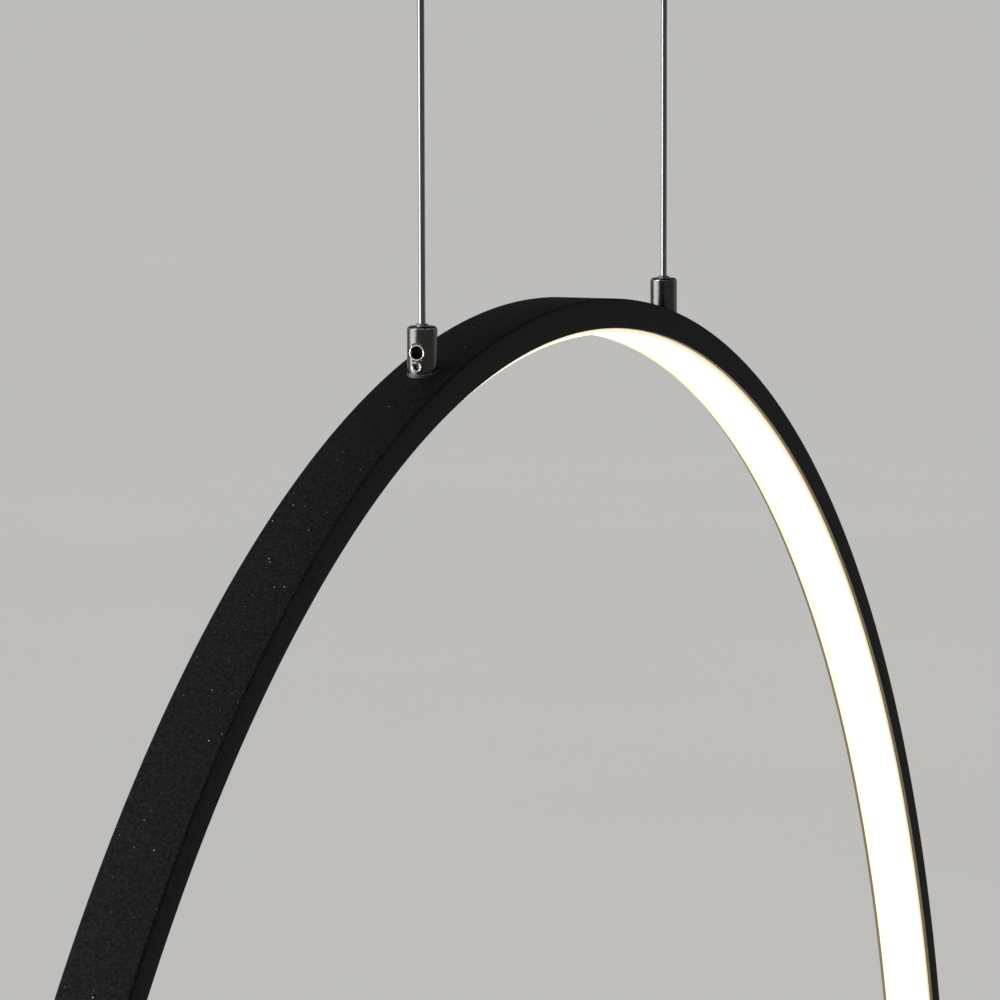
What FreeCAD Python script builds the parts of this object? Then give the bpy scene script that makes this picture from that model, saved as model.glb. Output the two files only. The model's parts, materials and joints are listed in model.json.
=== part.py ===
import FreeCAD, Part
import math
import os
from FreeCAD import Vector

# Vertical LED hoop pendant: an open channel rolled into a hoop, hung from two thin live
# suspension cables under a slim ceiling canopy that holds the driver.
# Millimetres, +Z up, +X along the canopy in the hoop's plane, +Y along the hoop's axis.
# The origin is the middle of the ceiling bracket's upper face.

# ---- driving dimensions: hoop ----
HOOP_R = 400.0            # outer radius of the rolled channel
PROFILE_W = 18.6          # width of the channel along Y
PROFILE_DEPTH = 8.6       # radial depth of the channel
WEB_T = 1.2               # outer wall of the channel
FLANGE_T = 1.2            # side walls of the channel
CORNER_R = 0.8            # rounding of the two outer corners
TIP_R = 0.3               # rounding of the flange tips
LEDGE_W = 1.9             # ledges in the channel that carry the light strip
SLOT_DEPTH = 1.6          # slot between the ledges, for the splice plate
SEAM_GAP = 0.2            # butt seam at the top of the hoop

# ---- driving dimensions: light ----
DIFFUSER_T = 1.2          # wall of the trough-shaped diffuser
DIFFUSER_PROUD = 1.5      # the diffuser's face stands this far proud of the flange tips
DIFFUSER_CORNER_R = 0.8   # rounding of the diffuser's two shown edges
DIFFUSER_LEG = 3.5        # face to the ends of the legs that clip into the channel
SNAP_TO_TIP = 1.4         # middle of the snap ribs to the flange tips
DIFFUSER_GAP = 0.6        # butt gap of the diffuser at the seam
SNAP_DEPTH = 0.35         # snap ribs of the diffuser, in grooves of the flanges
SNAP_T = 0.5
STRIP_T = 0.3
STRIP_END_GAP = 3.0       # between the two ends of the light strip
LED_PITCH = 16.6
LED_LENGTH = 2.8
LED_WIDTH = 3.5
LED_T = 0.7
SPLICE_L = 60.0
SPLICE_SCREW_R = 1.25
SPLICE_SCREW_SHARES = (-0.75, -0.35, 0.35, 0.75)   # of half the plate, from its middle

# ---- driving dimensions: suspension ----
CABLE_SPACING = 196.0     # between the two cables
DROP = 100.0              # canopy underside to the top of the hoop
CABLE_R = 0.9
BARREL_R = 4.0
BARREL_H = 12.4           # foot to top on the barrel's axis
BARREL_CHAMFER = 0.6
SIDE_HOLE_R = 1.7         # cable exit in the barrel's outer side
SIDE_HOLE_HEIGHT = 5.6
SIDE_HOLE_RIM = 0.35      # width of the side hole's countersink
GRUB_R = 1.5
GRUB_HEIGHT = 1.9
GRUB_PROUD = 0.4
COLLAR_WALL = 0.75
COLLAR_L = 3.0
COLLAR_PROUD = 0.6
LOCK_BALL_R = 0.75
LOCK_BALLS = 3
DISC_SPRING_T = 0.25
STUD_R = 1.5
STUD_IN_BARREL = 3.4
NUT_FLATS = 5.5
NUT_H = 1.8
TAG_T = 0.3
TAG_R = 2.9
TAG_TONGUE = 4.8          # stud's axis to the end of the tag's tongue
TAG_TONGUE_W = 2.0
INSULATOR_T = 0.5
INNER_WASHER_R = 3.5
STOP_BALL_R = 3.0

# ---- driving dimensions: canopy ----
CANOPY_H = 30.0
CANOPY_WALL = 1.5
CANOPY_CORNER_R = 14.0
CANOPY_EDGE_R = 2.0
EXIT_TO_END = 45.0        # cable exit to the end of the canopy
RIM_GAP = 0.5             # shadow gap between canopy and ceiling
BRACKET_T = 2.0
BRACKET_FLANGE = 13.0
BRACKET_END_GAP = 33.0    # bracket end to canopy end
DRIVER_ROOM = 1.3         # driver's ears to the bracket's walls
SLOT_R = 2.25             # ceiling screw slots
SLOT_LENGTH = 10.0
SLOT_TO_END = 12.0        # middle of a slot to the bracket's end
ENTRY_R = 7.0             # opening for the building's cable, inside the grommet
GROMMET_WALL = 1.5
GROMMET_LIP = 2.5
CANOPY_SCREW_R = 1.5
CANOPY_SCREW_L = 6.0
CANOPY_SCREW_TO_END = 52.0   # canopy screw to the bracket's end
CANOPY_SCREW_DEPTH = 8.0  # below the ceiling
SCREW_HEAD = 1.5          # how far a screw head reaches past its shank
SCREW_HEAD_H = 1.6

# ---- driving dimensions: cable exits ----
PIVOT_DEPTH = 26.0        # centre of the cable's stop ball, below the ceiling
BOSS_H = 4.0
BOSS_WALL = 1.5
BOSS_FLARE = 1.0
NECK_WALL = 1.2
CUP_WALL = 1.0
CUP_FLOOR = 2.8           # stop ball centre to the cup's underside
CUP_RISE = 3.5            # stop ball centre to the cup's rim
FUNNEL_ANGLE = 22.5
FUNNEL_GAP = 0.45
EXIT_NUT_H = 3.0
EXIT_NUT_WALL = 2.5
LUG_H = 4.0
LUG_W = 3.0
LUG_T = 0.6

# ---- driving dimensions: driver and wiring ----
DRIVER_TO_ENTRY = 16.0    # driver to the entry's axis
DRIVER_L = 100.0
DRIVER_W = 38.0
DRIVER_H = 17.0
DRIVER_WALL = 1.2
DRIVER_BASE_T = 2.0
DRIVER_EAR = 7.0
DRIVER_SCREW_R = 1.5
BOARD_T = 1.6
BOARD_POST_H = 3.0
BOARD_POST_R = 2.5
TRANSFORMER = (26.0, 20.0, 9.0)
CAPACITOR_R = 4.0
CAPACITOR_H = 8.5
CAPACITOR_X = 30.0        # from the driver's middle
CAPACITOR_Y = 7.6
DRIVER_LEAD_Y = 6.3       # output leads, from the driver's middle
BLOCK_TO_END = 24.0       # terminal block to the bracket's end
BLOCK_L = 22.0
BLOCK_H = 13.0
POLE_PITCH = 8.0
POLES = 3
POLE_BORE_R = 1.7
POLE_SCREW_R = 1.6
SCREW_SLOT = 0.5          # width of a slot in a screw's head
ENTRY_ROOM = 18.0         # terminal block to the entry's axis
EARTH_ROOM = 7.3          # earth screw's axis to the bracket's wall
EARTH_SCREW_R = 2.0
LEAD_R = 0.8
HOOP_LEAD_R = 0.5
HOOP_LEAD_GAP = 0.3       # to the light strip
LEAD_WANDER = 1.0         # how far a loose lead strays from its straight way
LEAD_TAIL = 2.2           # last straight run into a lug

# ---- clearances ----
FIT = 0.05                # screw or shaft in its hole, each side
SOLDER_GAP = 0.01         # flat chip on the curved light strip
EASE = 0.1                # fixed piece in its opening, each side
SEAT_GAP = 0.3            # moving piece from its seat
SIDE_GAP = 0.2            # diffuser and light strip from the channel's sides
TILT_GAP = 0.45           # collar in the barrel's mouth, so the barrel may tilt
OVERRUN = 5.0             # cutting tools run this far past what they cut

# ---- derived ----
CANOPY_L = CABLE_SPACING + 2 * EXIT_TO_END
BRACKET_Y = DRIVER_W / 2 + DRIVER_EAR + DRIVER_ROOM + BRACKET_T
CANOPY_W = 2 * (BRACKET_Y + SIDE_GAP + CANOPY_WALL)
BRACKET_END = CANOPY_L / 2 - BRACKET_END_GAP
SLOT_X = BRACKET_END - SLOT_TO_END
CANOPY_SCREW_X = BRACKET_END - CANOPY_SCREW_TO_END
BLOCK_X = BLOCK_TO_END - BRACKET_END
EARTH_X = BLOCK_X + BLOCK_L / 2
ENTRY_X = BLOCK_X + BLOCK_L + ENTRY_ROOM
DRIVER_X = ENTRY_X + DRIVER_TO_ENTRY
EARTH_Y = EARTH_ROOM + BRACKET_T - BRACKET_Y
HOOP_Z = -(CANOPY_H + DROP + HOOP_R)
EXIT_X = CABLE_SPACING / 2
PIVOT_Z = -PIVOT_DEPTH
HOOP_CENTRE = Vector(0, 0, HOOP_Z)
Y_AXIS = Vector(0, 1, 0)
SLOT_FLOOR_R = HOOP_R - WEB_T
LEDGE_R = SLOT_FLOOR_R - SLOT_DEPTH
TIP_RADIUS = HOOP_R - PROFILE_DEPTH
CHANNEL_Y = PROFILE_W / 2 - FLANGE_T
SLOT_Y = CHANNEL_Y - LEDGE_W
DIFFUSER_R = TIP_RADIUS - DIFFUSER_PROUD
SNAP_R = TIP_RADIUS + SNAP_TO_TIP
DIFFUSER_Y = CHANNEL_Y - SIDE_GAP
STRIP_R = LEDGE_R - STRIP_T
FOOT_Z = HOOP_Z + math.sqrt(HOOP_R ** 2 - EXIT_X ** 2)
WEB_Z = HOOP_Z + math.sqrt(SLOT_FLOOR_R ** 2 - EXIT_X ** 2)
BARREL_TOP = FOOT_Z + BARREL_H
COLLAR_R = CABLE_R + COLLAR_WALL
COLLAR_BOTTOM = BARREL_TOP + COLLAR_PROUD - COLLAR_L
MOUTH_R = COLLAR_R + TILT_GAP
NECK_BORE = CABLE_R + FIT
CABLE_TOP = PIVOT_Z - STOP_BALL_R - EASE
CUP_R = STOP_BALL_R + SEAT_GAP + CUP_WALL
NECK_R = CUP_R + NECK_WALL
HOOP_SLOPE = EXIT_X / math.sqrt(HOOP_R ** 2 - EXIT_X ** 2)
WASHER_Z = WEB_Z - INNER_WASHER_R * HOOP_SLOPE - INSULATOR_T
TAG_Z = WASHER_Z - TAG_T
NUT_Z = TAG_Z - NUT_H
CANOPY_FLOOR = -CANOPY_H + CANOPY_WALL
LEAD_Z = -(BRACKET_T + BLOCK_H / 2)
DRIVER_END = DRIVER_X + DRIVER_L
DRIVER_TOP = -(BRACKET_T + DRIVER_BASE_T)
DRIVER_LEAD_Z = DRIVER_TOP - DRIVER_H / 2
LUG_Z = PIVOT_Z + CUP_RISE + LUG_H / 2
LUG_X = EXIT_X - CUP_R


def save(name, *solids):
    """Write one node; several solids stay separate in it."""
    shape = solids[0] if len(solids) == 1 else Part.makeCompound(list(solids))
    if not shape.isValid():
        raise ValueError(name + " is not a valid shape")
    shape.exportStep("parts/" + name + ".step")
    print(name, len(shape.Solids), round(shape.Volume, 2))


def box(x0, x1, y0, y1, z0, z1):
    return Part.makeBox(x1 - x0, y1 - y0, z1 - z0, Vector(x0, y0, z0))


def upright(x, y, z0, z1, radius):
    """Cylinder along Z."""
    return Part.makeCylinder(radius, z1 - z0, Vector(x, y, z0))


def rod(start, direction, length, radius):
    return Part.makeCylinder(radius, length, start, direction)


def frustum(x, z0, z1, r0, r1):
    """Cone along Z on the plane Y = 0, radius r0 at z0 and r1 at z1."""
    return Part.makeCone(r0, r1, z1 - z0, Vector(x, 0, z0))


def hexagon(x, z0, z1, across_flats):
    corner = across_flats / math.sqrt(3)
    points = []
    for i in range(7):
        turn = math.radians(60 * i)
        points.append(Vector(x + corner * math.cos(turn), corner * math.sin(turn), z0))
    return Part.Face(Part.makePolygon(points)).extrude(Vector(0, 0, z1 - z0))


def rounded_edges(points, radii, closed):
    """Straight edges through the points with a tangent arc at each corner that has a radius."""
    count = len(points)
    corners = range(count) if closed else range(1, count - 1)
    ends = {i: (points[i], points[i]) for i in range(count)}
    arcs = {}
    for i in corners:
        radius = radii[i]
        if radius <= 0:
            continue
        here = points[i]
        back = (points[i - 1] - here).normalize()
        ahead = (points[(i + 1) % count] - here).normalize()
        half = back.getAngle(ahead) / 2
        setback = radius / math.tan(half)
        first = here + back * setback
        last = here + ahead * setback
        inward = (back + ahead).normalize()
        middle = here + inward * (radius / math.sin(half) - radius)
        ends[i] = (first, last)
        arcs[i] = Part.Arc(first, middle, last).toShape()
    edges = []
    for i in range(count if closed else count - 1):
        if i in arcs:
            edges.append(arcs[i])
        start = ends[i][1]
        finish = ends[(i + 1) % count][0]
        if (finish - start).Length > 1e-6:
            edges.append(Part.LineSegment(start, finish).toShape())
    return edges


def section_face(outline):
    """Face in the plane X = 0 from (y, radius, corner radius) points round the hoop's centre."""
    points = [Vector(0, y, HOOP_Z + r) for y, r, _ in outline]
    radii = [corner for _, _, corner in outline]
    return Part.Face(Part.Wire(rounded_edges(points, radii, True)))


def rolled(face, start, stop):
    """Revolve a section round the hoop's axis; angles in degrees from the top towards +X."""
    face.rotate(HOOP_CENTRE, Y_AXIS, start)
    return face.revolve(HOOP_CENTRE, Y_AXIS, stop - start)


def hoop_band(half_width, r0, r1, start, stop):
    """Rolled band of plain rectangular section."""
    outline = [(-half_width, r0, 0), (half_width, r0, 0), (half_width, r1, 0), (-half_width, r1, 0)]
    return rolled(section_face(outline), start, stop)


def hoop_disc(radius, half_width):
    """Solid disc on the hoop's axis, used to cut seats that follow the hoop."""
    return Part.makeCylinder(radius, 2 * half_width, HOOP_CENTRE - Y_AXIS * half_width, Y_AXIS)


def arc_angle(length, radius):
    return math.degrees(length / radius)


def lead(points, radius):
    """Insulated wire: straight runs joined by the largest tangent arcs that the runs allow."""
    points = [Vector(*p) for p in points]
    radii = [0.0] * len(points)
    for i in range(1, len(points) - 1):
        back = points[i] - points[i - 1]
        ahead = points[i + 1] - points[i]
        turn = back.getAngle(ahead)
        radii[i] = 0.45 * min(back.Length, ahead.Length) / math.tan(turn / 2)
    path = Part.Wire(rounded_edges(points, radii, False))
    circle = Part.Circle(points[0], points[1] - points[0], radius).toShape()
    print("   bend radii", [round(r, 1) for r in radii[1:-1]], "length", round(path.Length, 1))
    return path.makePipeShell([Part.Wire(circle)], True, False)


def rounded_block(length, width, z0, z1, corner):
    """Upright block with rounded corners, centred on the origin."""
    half_l, half_w = length / 2, width / 2
    points = [Vector(-half_l, -half_w, z0), Vector(half_l, -half_w, z0),
              Vector(half_l, half_w, z0), Vector(-half_l, half_w, z0)]
    face = Part.Face(Part.Wire(rounded_edges(points, [corner] * 4, True)))
    return face.extrude(Vector(0, 0, z1 - z0))


def edges_at(shape, z):
    """Edges that lie wholly in one horizontal plane."""
    return [e for e in shape.Edges if all(abs(v.Z - z) < 1e-6 for v in e.Vertexes)
            and abs(e.BoundBox.ZLength) < 1e-3]


def pan_screw(start, direction, shank_r, shank_l, socket_r):
    """Pan-head screw: the head's underside is at start and the shank runs along direction."""
    back = direction * -1
    head = rod(start, back, SCREW_HEAD_H, shank_r + SCREW_HEAD)
    head = head.makeFillet(SCREW_HEAD_H / 3, [head.Edges[0]])
    socket = rod(start + back * SCREW_HEAD_H, direction, SCREW_HEAD_H / 2, socket_r)
    return head.fuse(rod(start, direction, shank_l, shank_r)).removeSplitter().cut(socket)


# ---- hoop ----

def profile():
    """Channel open towards the centre, with ledges for the strip and grooves for the diffuser."""
    groove_0 = SNAP_R - SNAP_T / 2 - SIDE_GAP
    groove_1 = SNAP_R + SNAP_T / 2 + SIDE_GAP
    groove_y = CHANNEL_Y - SIDE_GAP + SNAP_DEPTH + SIDE_GAP
    half = [(PROFILE_W / 2, HOOP_R, CORNER_R), (PROFILE_W / 2, TIP_RADIUS, TIP_R),
            (CHANNEL_Y, TIP_RADIUS, TIP_R), (CHANNEL_Y, groove_0, 0), (groove_y, groove_0, 0),
            (groove_y, groove_1, 0), (CHANNEL_Y, groove_1, 0), (CHANNEL_Y, LEDGE_R, 0),
            (SLOT_Y, LEDGE_R, 0), (SLOT_Y, SLOT_FLOOR_R, 0)]
    outline = half + [(-y, r, corner) for y, r, corner in reversed(half)]
    half_seam = arc_angle(SEAM_GAP, HOOP_R) / 2
    channel = rolled(section_face(outline), half_seam, 360 - half_seam)
    for side in (-1, 1):
        hole = upright(side * EXIT_X, 0, WEB_Z - OVERRUN, FOOT_Z + OVERRUN, insulator_neck_r() + EASE)
        channel = channel.cut(hole)
    save("hoop_profile", channel)


def diffuser():
    """Opal trough clipped into the channel's mouth by a rib on each leg."""
    rib_y = DIFFUSER_Y + SNAP_DEPTH
    rib_0 = SNAP_R - SNAP_T / 2
    rib_1 = SNAP_R + SNAP_T / 2
    inner_y = DIFFUSER_Y - DIFFUSER_T
    leg_end = DIFFUSER_R + DIFFUSER_LEG
    half = [(inner_y, DIFFUSER_R + DIFFUSER_T, 0), (inner_y, leg_end, 0), (DIFFUSER_Y, leg_end, 0),
            (DIFFUSER_Y, rib_1, 0), (rib_y, rib_1, 0), (rib_y, rib_0, 0), (DIFFUSER_Y, rib_0, 0),
            (DIFFUSER_Y, DIFFUSER_R, DIFFUSER_CORNER_R)]
    outline = half + [(-y, r, corner) for y, r, corner in reversed(half)]
    half_gap = arc_angle(DIFFUSER_GAP, DIFFUSER_R) / 2
    save("diffuser", rolled(section_face(outline), half_gap, 360 - half_gap))


def light_strip():
    """Flexible board on the ledges, holed round the two feed studs, and its light chips."""
    half_gap = arc_angle(STRIP_END_GAP, STRIP_R) / 2
    strip = hoop_band(DIFFUSER_Y, STRIP_R, LEDGE_R, half_gap, 360 - half_gap)
    keep_out = INNER_WASHER_R + 2 * SIDE_GAP
    for side in (-1, 1):
        strip = strip.cut(upright(side * EXIT_X, 0, NUT_Z - OVERRUN, WEB_Z + OVERRUN, keep_out))
    save("led_strip", strip)

    count = round(2 * math.pi * STRIP_R / LED_PITCH)
    clear = keep_out + LED_LENGTH
    chips = []
    for i in range(count):
        angle = math.radians(360 * (i + 0.5) / count)
        if math.cos(angle) > 0 and abs(STRIP_R * abs(math.sin(angle)) - EXIT_X) < clear:
            continue
        chip = box(-LED_LENGTH / 2, LED_LENGTH / 2, -LED_WIDTH / 2, LED_WIDTH / 2,
                   HOOP_Z + STRIP_R - LED_T, HOOP_Z + STRIP_R - SOLDER_GAP)
        chip.rotate(HOOP_CENTRE, Y_AXIS, math.degrees(angle))
        chips.append(chip)
    save("led_chips", *chips)


def splice():
    """Plate in the slot that joins the two ends of the channel, with its grub screws."""
    half = arc_angle(SPLICE_L / 2, SLOT_FLOOR_R)
    inner_r = LEDGE_R + EASE
    outer_r = SLOT_FLOOR_R - FIT
    plate = hoop_band(SLOT_Y - SIDE_GAP, inner_r, outer_r, -half, half)
    screws = []
    for share in SPLICE_SCREW_SHARES:
        hole = upright(0, 0, HOOP_Z + inner_r - OVERRUN, HOOP_Z + outer_r + OVERRUN, SPLICE_SCREW_R + FIT)
        screw = upright(0, 0, HOOP_Z + inner_r, HOOP_Z + outer_r - FIT, SPLICE_SCREW_R)
        for pin in (hole, screw):
            pin.rotate(HOOP_CENTRE, Y_AXIS, share * half)
        plate = plate.cut(hole)
        screws.append(screw)
    save("splice_plate", plate)
    save("splice_screws", *screws)


# ---- suspension: two of each, at the left (-X) and right (+X) cable ----

def insulator_neck_r():
    return STUD_R + FIT + INSULATOR_T


def barrel(side, name):
    """Turned gripper body whose foot is cut to the hoop, with its side exit on the outer side."""
    x = side * EXIT_X
    outward = Vector(side, 0, 0)
    ledge_z = FOOT_Z + SIDE_HOLE_HEIGHT + SIDE_HOLE_R
    chamber_z = ledge_z + INSULATOR_T
    chamber_top = COLLAR_BOTTOM - SEAT_GAP
    chamber_r = CABLE_R + 2 * LOCK_BALL_R + FIT
    body = upright(x, 0, FOOT_Z - 2 * BARREL_R * HOOP_SLOPE, BARREL_TOP, BARREL_R)
    body = body.makeChamfer(BARREL_CHAMFER, edges_at(body, BARREL_TOP))
    body = body.cut(hoop_disc(HOOP_R + INSULATOR_T, PROFILE_W))
    body = body.cut(upright(x, 0, FOOT_Z - OVERRUN, FOOT_Z + STUD_IN_BARREL, STUD_R + FIT))
    body = body.cut(upright(x, 0, ledge_z - SIDE_HOLE_R, ledge_z + OVERRUN, CABLE_R + EASE))
    body = body.cut(upright(x, 0, chamber_z, chamber_top, chamber_r))
    body = body.cut(frustum(x, chamber_top, COLLAR_BOTTOM, chamber_r, MOUTH_R))
    body = body.cut(upright(x, 0, COLLAR_BOTTOM, BARREL_TOP + OVERRUN, MOUTH_R))
    axis = Vector(x, 0, FOOT_Z + SIDE_HOLE_HEIGHT)
    body = body.cut(rod(axis, outward, BARREL_R + OVERRUN, SIDE_HOLE_R))
    rim = Part.makeCone(SIDE_HOLE_R, SIDE_HOLE_R + 2 * SIDE_HOLE_RIM, 2 * SIDE_HOLE_RIM,
                        axis + outward * (BARREL_R - SIDE_HOLE_RIM), outward)
    body = body.cut(rim)
    grub_axis = Vector(x, 0, FOOT_Z + GRUB_HEIGHT)
    body = body.cut(rod(grub_axis, outward, BARREL_R + OVERRUN, GRUB_R + FIT))
    save("gripper_barrel_" + name, body)

    balls = []
    ball_z = chamber_z + DISC_SPRING_T + LOCK_BALL_R + 2 * FIT
    for i in range(LOCK_BALLS):
        turn = 2 * math.pi * i / LOCK_BALLS
        reach = CABLE_R + LOCK_BALL_R + FIT / 2
        centre = Vector(x + reach * math.cos(turn), reach * math.sin(turn), ball_z)
        balls.append(Part.makeSphere(LOCK_BALL_R, centre))
    save("lock_balls_" + name, *balls)
    spring = upright(x, 0, chamber_z, chamber_z + DISC_SPRING_T, chamber_r - FIT)
    spring = spring.cut(upright(x, 0, chamber_z - OVERRUN, chamber_z + OVERRUN, CABLE_R + EASE))
    save("lock_spring_" + name, spring)
    tail = upright(x, 0, ledge_z, COLLAR_BOTTOM - SEAT_GAP, CABLE_R)
    save("cable_tail_" + name, tail)

    grub = rod(grub_axis + outward * (STUD_R + FIT), outward,
               BARREL_R + GRUB_PROUD - STUD_R - FIT, GRUB_R)
    outer = edges_at_distance(grub, x, BARREL_R + GRUB_PROUD)
    grub = grub.makeChamfer(GRUB_PROUD / 2, outer)
    socket = hexagon(0, 0, GRUB_R + OVERRUN, GRUB_R)
    socket.rotate(Vector(0, 0, 0), Y_AXIS, 90 * side)
    socket.translate(grub_axis + outward * (BARREL_R + GRUB_PROUD - GRUB_R))
    save("grub_screw_" + name, grub.cut(socket))


def edges_at_distance(shape, x, reach):
    """Round edges at one distance from an upright axis, along X."""
    return [e for e in shape.Edges if e.BoundBox.XLength < 1e-3
            and abs(abs(e.BoundBox.Center.x - x) - reach) < 1e-3]


def collar(side, name):
    """Release collar that the cable runs through; it grips the cable and tilts with it."""
    x = side * EXIT_X
    tube = upright(x, 0, COLLAR_BOTTOM, BARREL_TOP + COLLAR_PROUD, COLLAR_R)
    tube = tube.makeChamfer(COLLAR_WALL / 4, edges_at(tube, BARREL_TOP + COLLAR_PROUD))
    tube = tube.cut(upright(x, 0, COLLAR_BOTTOM - OVERRUN, BARREL_TOP + OVERRUN, NECK_BORE))
    save("release_collar_" + name, tube)


def foot(side, name):
    """Stud through the web with its insulators, contact tag, nut and lead."""
    x = side * EXIT_X
    neck_r = insulator_neck_r()
    neck_low = WEB_Z + neck_r * HOOP_SLOPE + EASE
    flange = upright(x, 0, FOOT_Z - OVERRUN, FOOT_Z + OVERRUN, BARREL_R + EASE)
    flange = flange.cut(hoop_disc(HOOP_R, PROFILE_W))
    flange = flange.common(hoop_disc(HOOP_R + INSULATOR_T, PROFILE_W))
    neck = upright(x, 0, neck_low, FOOT_Z, neck_r)
    bore = upright(x, 0, FOOT_Z - 2 * OVERRUN, FOOT_Z + 2 * OVERRUN, STUD_R + FIT)
    save("insulating_bush_" + name, flange.fuse(neck).removeSplitter().cut(bore))

    washer = upright(x, 0, WASHER_Z, FOOT_Z, INNER_WASHER_R)
    washer = washer.common(hoop_disc(SLOT_FLOOR_R, PROFILE_W)).cut(bore)
    save("saddle_washer_" + name, washer)
    tongue_end = x - side * TAG_TONGUE
    tongue = box(min(x, tongue_end), max(x, tongue_end), -TAG_TONGUE_W / 2, TAG_TONGUE_W / 2, TAG_Z, WASHER_Z)
    tag = upright(x, 0, TAG_Z, WASHER_Z, TAG_R).fuse(tongue).removeSplitter()
    save("contact_tag_" + name, tag.cut(bore))
    save("stud_nut_" + name, hexagon(x, NUT_Z, TAG_Z, NUT_FLATS).cut(bore))
    save("gripper_stud_" + name, upright(x, 0, NUT_Z - TAG_T, FOOT_Z + STUD_IN_BARREL, STUD_R))

    lead_r = STRIP_R - HOOP_LEAD_R - HOOP_LEAD_GAP
    soldered_z = TAG_Z - HOOP_LEAD_R - FIT
    nut_corner = NUT_FLATS / math.sqrt(3)
    points = [(x - side * (nut_corner + HOOP_LEAD_R + EASE), 0, soldered_z),
              (x - side * (TAG_TONGUE + 0.8), 0.9, soldered_z)]
    for along, y in ((9.4, 3.9), (15.0, 4.4)):
        reach = EXIT_X - along
        points.append((side * reach, y, HOOP_Z + math.sqrt(lead_r ** 2 - reach ** 2)))
    save("hoop_lead_" + name, lead(points, HOOP_LEAD_R))


def cable(side, name):
    """Taut suspension cable, from under its stop ball down into the release collar."""
    x = side * EXIT_X
    save("suspension_cable_" + name, upright(x, 0, COLLAR_BOTTOM, CABLE_TOP, CABLE_R))
    save("stop_ball_" + name, Part.makeSphere(STOP_BALL_R, Vector(x, 0, PIVOT_Z)))


# ---- canopy ----

def funnel(x, low):
    """Tool that leaves the cable room to swing, widening downwards from the stop ball."""
    depth = PIVOT_Z - low
    narrow = CABLE_R + FUNNEL_GAP
    return frustum(x, low, PIVOT_Z, narrow + depth * math.tan(math.radians(FUNNEL_ANGLE)), narrow)


def cable_exit(side, name):
    """Insulating bush in the canopy's floor, with the live cup that holds the stop ball."""
    x = side * EXIT_X
    mouth_z = -(CANOPY_H + BOSS_H)
    cup_low = PIVOT_Z - CUP_FLOOR
    cup_top = PIVOT_Z + CUP_RISE
    mouth_r = CABLE_R + FUNNEL_GAP + (PIVOT_Z - mouth_z) * math.tan(math.radians(FUNNEL_ANGLE))
    boss_r = max(mouth_r + BOSS_WALL, NECK_R)
    boss = frustum(x, mouth_z, -CANOPY_H, boss_r, boss_r + BOSS_FLARE)
    bush = boss.fuse(upright(x, 0, -CANOPY_H, cup_top - CUP_WALL, NECK_R)).removeSplitter()
    bush = bush.cut(upright(x, 0, cup_low, cup_top + OVERRUN, CUP_R))
    save("exit_bush_" + name, bush.cut(funnel(x, mouth_z - OVERRUN)))

    seat_r = STOP_BALL_R + SEAT_GAP
    cup = upright(x, 0, cup_low, cup_top, CUP_R)
    lug_x = x - side * (CUP_R - LUG_T / 2)
    lug = box(lug_x - LUG_T / 2, lug_x + LUG_T / 2, -LUG_W / 2, LUG_W / 2, PIVOT_Z, cup_top + LUG_H)
    cup = cup.fuse(lug.common(upright(x, 0, PIVOT_Z, cup_top + LUG_H, CUP_R))).removeSplitter()
    cup = cup.cut(Part.makeSphere(seat_r, Vector(x, 0, PIVOT_Z)))
    cup = cup.cut(upright(x, 0, PIVOT_Z, cup_top + LUG_H, seat_r))
    save("contact_cup_" + name, cup.cut(funnel(x, cup_low - OVERRUN)))

    nut = hexagon(x, CANOPY_FLOOR, CANOPY_FLOOR + EXIT_NUT_H, 2 * (NECK_R + EXIT_NUT_WALL))
    nut = nut.cut(upright(x, 0, -CANOPY_H, CANOPY_FLOOR + OVERRUN, NECK_R + FIT))
    save("exit_nut_" + name, nut)


def canopy_screw_places():
    for x in (-CANOPY_SCREW_X, CANOPY_SCREW_X):
        for side in (-1, 1):
            yield Vector(x, side * CANOPY_W / 2, -CANOPY_SCREW_DEPTH), Vector(0, -side, 0)


def canopy():
    outer = rounded_block(CANOPY_L, CANOPY_W, -CANOPY_H, -RIM_GAP, CANOPY_CORNER_R)
    outer = outer.makeFillet(CANOPY_EDGE_R, edges_at(outer, -CANOPY_H))
    cavity = rounded_block(CANOPY_L - 2 * CANOPY_WALL, CANOPY_W - 2 * CANOPY_WALL, CANOPY_FLOOR, OVERRUN,
                           CANOPY_CORNER_R - CANOPY_WALL)
    cover = outer.cut(cavity)
    for side in (-1, 1):
        cover = cover.cut(upright(side * EXIT_X, 0, -CANOPY_H - OVERRUN, 0, NECK_R + EASE))
    screws = []
    for place, inward in canopy_screw_places():
        cover = cover.cut(rod(place - inward * OVERRUN, inward, 2 * OVERRUN, CANOPY_SCREW_R + EASE))
        screws.append(pan_screw(place, inward, CANOPY_SCREW_R, CANOPY_SCREW_L, CANOPY_SCREW_R * 0.7))
    save("canopy_cover", cover)
    save("canopy_screws", *screws)


def block_pegs():
    for part in (0.25, 0.75):
        yield BLOCK_X + part * BLOCK_L


def driver_ears():
    middle = DRIVER_X + DRIVER_L / 2
    for side in (-1, 1):
        yield middle, side * (DRIVER_W + DRIVER_EAR) / 2


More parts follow.
